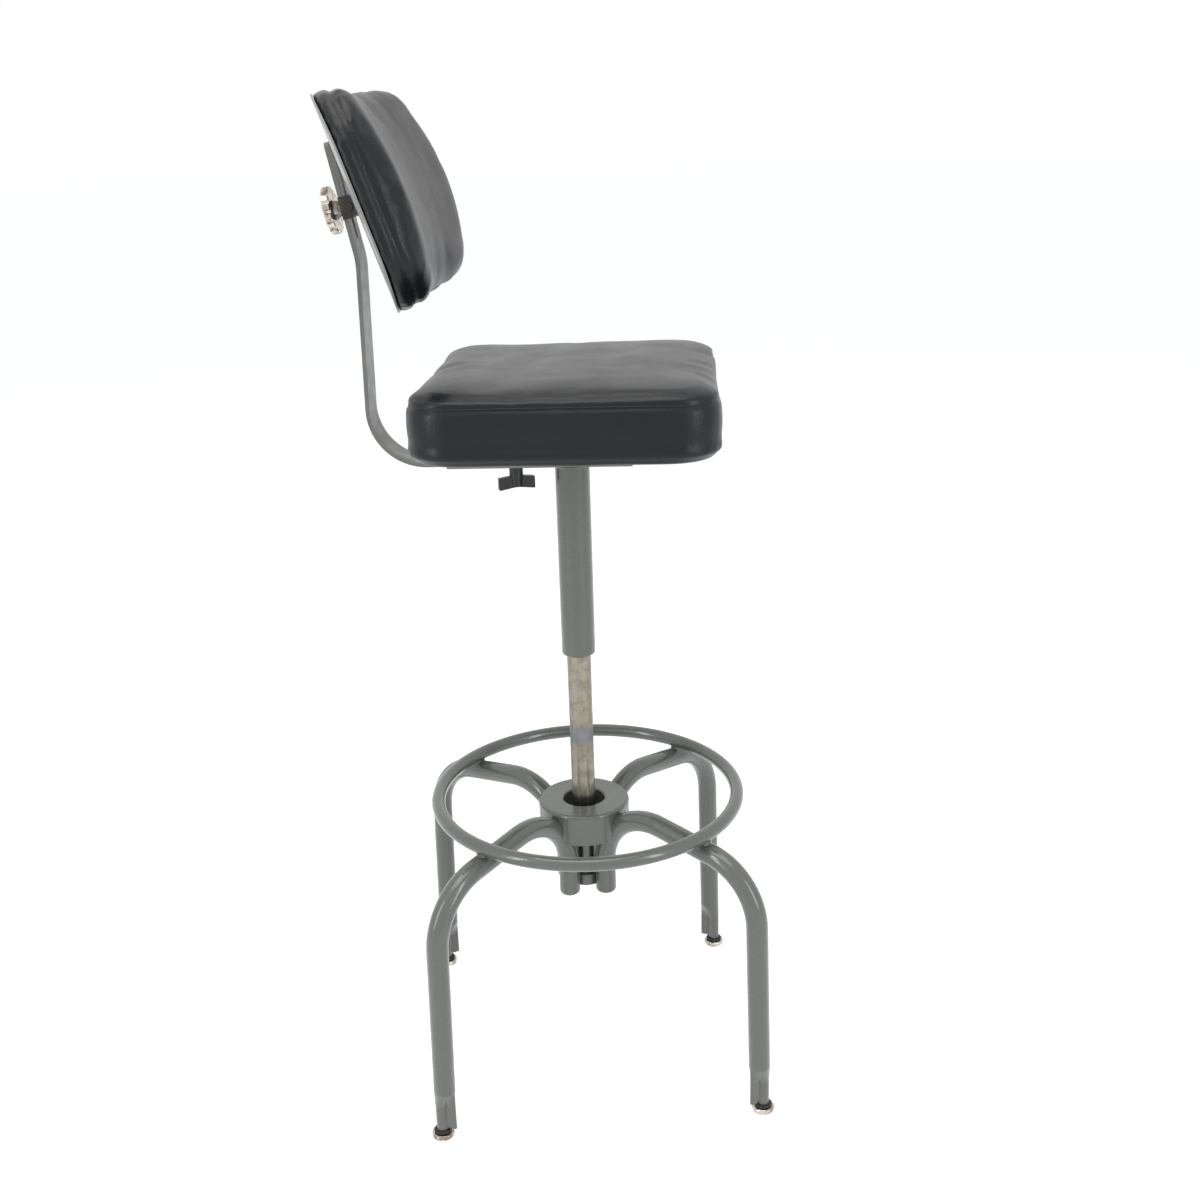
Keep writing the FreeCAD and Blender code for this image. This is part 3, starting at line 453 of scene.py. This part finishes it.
def level_line(obj, centre):
    """Points where level rays from far out towards the centre meet the pad."""
    tree = BVHTree.FromObject(obj, bpy.context.evaluated_depsgraph_get())
    points = []
    for i in range(welt_points):
        turn = 2 * math.pi * i / welt_points
        out = Vector((math.cos(turn), math.sin(turn), 0))
        hit, normal, _, _ = tree.ray_cast(centre + out, -out)
        if hit is not None:
            points.append(hit - normal * welt_sink)
    return points


seat_low, seat_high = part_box("seat_cushion")
seat_middle = (seat_low + seat_high) / 2
seam_z = seat_low.z + top_seam_height


def seat_held(point):
    board_low, board_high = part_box("seat_board")
    return 1 - smooth_step(point.z, board_high.z + 0.002, board_high.z + 0.012)


def seat():
    pad = puffed("seat_pad", "seat_cushion", "carrier", seat_held)
    half_x = (seat_high.x - seat_low.x) / 2
    half_y = (seat_high.y - seat_low.y) / 2
    for vertex in pad.data.vertices:
        # The sides pull in a little between the corners, and the top dips towards the rear
        across = (vertex.co.x - seat_middle.x) / half_x
        along = (vertex.co.y - seat_middle.y) / half_y
        up = smooth_step(vertex.co.z, seat_low.z + 0.02, seat_high.z)
        if abs(across) > 0.9 and up > 0:
            vertex.co.x -= math.copysign(side_pull * math.cos(along * math.pi / 2), across)
        dip = math.exp(-((along - dip_place) / dip_spread) ** 2)
        if vertex.co.z > seam_z:
            vertex.co.z -= dip_depth * dip * smooth_step(vertex.co.z, seam_z, seat_high.z)
    sew(pad, lambda point: point.z - seam_z, seam_depth)
    sew(pad, lambda point: point.z - seat_low.z - tuck_height, seam_depth * 0.6)
    points = level_line(pad, Vector((seat_middle.x, seat_middle.y, seam_z)))
    cord = closed_tube("seat_welt", points, welt_radius)
    piece("seat_welt", cord, "carrier", vinyl_finish)


tilt = next(j for j in frame["record"]["behaviour"]["joints"] if j["name"] == "backrest_tilt")
pivot = Vector(tilt["pos_m"])
back_out = Vector((0, math.cos(back_lean), -math.sin(back_lean)))


def in_front_of_pan(point):
    """How far a point is in front of the pan's dished rear face."""
    off = point - pivot
    dish = pan_dish_radius - math.sqrt(max(pan_dish_radius ** 2 - off.x ** 2, 0.01))
    return -pan_behind_pivot - dish - off.dot(back_out)


def back_held(point):
    return 1 - smooth_step(in_front_of_pan(point), 0.012, 0.02)


def backrest():
    pad = puffed("back_pad", "backrest_cushion", "backrest", back_held)
    sew(pad, lambda point: in_front_of_pan(point) - band_depth, seam_depth)


seat()
backrest()


# Weld beads and staples

def bead(name, centre, axis, radius, thickness, body):
    """Uneven ring of weld metal."""
    side = axis.orthogonal().normalized()
    other = axis.cross(side)
    points = []
    for i in range(bead_points):
        turn = 2 * math.pi * i / bead_points
        ripple = 1 + bead_ripple * math.sin(bead_ripples * turn)
        points.append(centre + (side * math.cos(turn) + other * math.sin(turn)) * radius * ripple)
    return piece(name, closed_tube(name, points, thickness, 10), body, paint)


def tube_weld():
    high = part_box("seat_tube")[1]
    lap = 0.0006
    bead("tube_weld", Vector((0, 0, high.z - lap)), Vector((0, 0, 1)), high.x + lap, bead_radius, "carrier")


def staples():
    """Row of staples that hold the vinyl under the board."""
    low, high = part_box("seat_board")
    middle = (low + high) / 2
    half_x = (high.x - low.x) / 2 - staple_margin
    half_y = (high.y - low.y) / 2 - staple_margin
    mesh = bpy.data.meshes.new("staples")
    made = bmesh.new()
    for i in range(staple_count):
        turn = 2 * math.pi * (i + 0.5) / staple_count
        reach = (abs(math.cos(turn) / half_x) ** 8 + abs(math.sin(turn) / half_y) ** 8) ** (-1 / 8)
        out = Vector((math.cos(turn), math.sin(turn), 0))
        spot = Vector((middle.x, middle.y, low.z - staple_sunk)) + out * reach
        place = Matrix.Translation(spot) @ Matrix.Rotation(turn + math.pi / 2, 4, "Z")
        bmesh.ops.create_cube(made, size=1, matrix=place @ Matrix.Diagonal((*staple_size, 1)))
    bmesh.ops.bevel(made, geom=made.edges[:], offset=staple_rounding, segments=2, affect="EDGES")
    made.to_mesh(mesh)
    made.free()
    piece("staples", mesh, "carrier", bright_steel, smooth=False)


tube_weld()
staples()


# Studio

def white_seen(tree):
    """1 for rays that come straight from the camera, off metal or through glass."""
    path = tree.nodes.new("ShaderNodeLightPath")
    seen = path.outputs["Is Camera Ray"]
    for name in ("Is Glossy Ray", "Is Transmission Ray"):
        join = tree.nodes.new("ShaderNodeMath")
        join.operation = "MAXIMUM"
        tree.links.new(seen, join.inputs[0])
        tree.links.new(path.outputs[name], join.inputs[1])
        seen = join.outputs["Value"]
    return seen


def white_world():
    world = bpy.data.worlds.new("studio")
    bpy.context.scene.world = world
    world.use_nodes = True
    tree = world.node_tree
    light = tree.nodes["Background"]
    light.inputs["Color"].default_value = world_tint
    light.inputs["Strength"].default_value = world_strength
    white = tree.nodes.new("ShaderNodeBackground")
    white.inputs["Color"].default_value = (1, 1, 1, 1)
    white.inputs["Strength"].default_value = 1.0
    mix = tree.nodes.new("ShaderNodeMixShader")
    tree.links.new(white_seen(tree), mix.inputs["Fac"])
    tree.links.new(light.outputs[0], mix.inputs[1])
    tree.links.new(white.outputs[0], mix.inputs[2])
    tree.links.new(mix.outputs[0], tree.nodes["World Output"].inputs["Surface"])


def pale_floor():
    mesh = bpy.data.meshes.new("floor")
    made = bmesh.new()
    bmesh.ops.create_grid(made, x_segments=1, y_segments=1, size=floor_size)
    made.to_mesh(mesh)
    made.free()
    floor = bpy.data.objects.new("floor", mesh)
    bpy.context.scene.collection.objects.link(floor)
    pale = bpy.data.materials.new("floor")
    pale.use_nodes = True
    tree = pale.node_tree
    shader = tree.nodes["Principled BSDF"]
    shader.inputs["Base Color"].default_value = (0.8, 0.8, 0.8, 1)
    shader.inputs["Roughness"].default_value = 0.9
    shader.inputs["Specular IOR Level"].default_value = 0.1
    shader.inputs["Emission Color"].default_value = (1, 1, 1, 1)
    lift = tree.nodes.new("ShaderNodeMath")
    lift.operation = "MULTIPLY"
    lift.inputs[1].default_value = floor_lift
    tree.links.new(white_seen(tree), lift.inputs[0])
    tree.links.new(lift.outputs["Value"], shader.inputs["Emission Strength"])
    mesh.materials.append(pale)


def soft_box(name, place, size, power, colour):
    light = bpy.data.lights.new(name, "AREA")
    light.shape = "RECTANGLE"
    light.size, light.size_y = size
    light.energy = power
    light.color = colour
    obj = bpy.data.objects.new(name, light)
    bpy.context.scene.collection.objects.link(obj)
    obj.location = place
    obj.rotation_euler = (lamp_target - Vector(place)).to_track_quat("-Z", "Y").to_euler()


def camera():
    data = bpy.data.cameras.new("camera")
    data.lens = camera_lens
    data.sensor_width = sensor_width
    obj = bpy.data.objects.new("camera", data)
    bpy.context.scene.collection.objects.link(obj)
    back = camera_right.cross(camera_up)
    turn = Matrix((camera_right, camera_up, back)).transposed()
    obj.matrix_world = Matrix.Translation(camera_place) @ turn.to_4x4()
    bpy.context.scene.camera = obj


white_world()
pale_floor()
soft_box("overhead", (-0.4, 0.1, 2.6), (1.6, 1.6), 22, (1.0, 0.99, 0.97))
soft_box("left_strip", (-1.5, 1.6, 1.3), (0.35, 1.6), 14, (0.9, 0.94, 1.0))
soft_box("right_strip", (-1.5, -1.7, 1.2), (0.35, 1.6), 14, (0.9, 0.94, 1.0))
camera()
bpy.context.scene.view_settings.view_transform = "Standard"
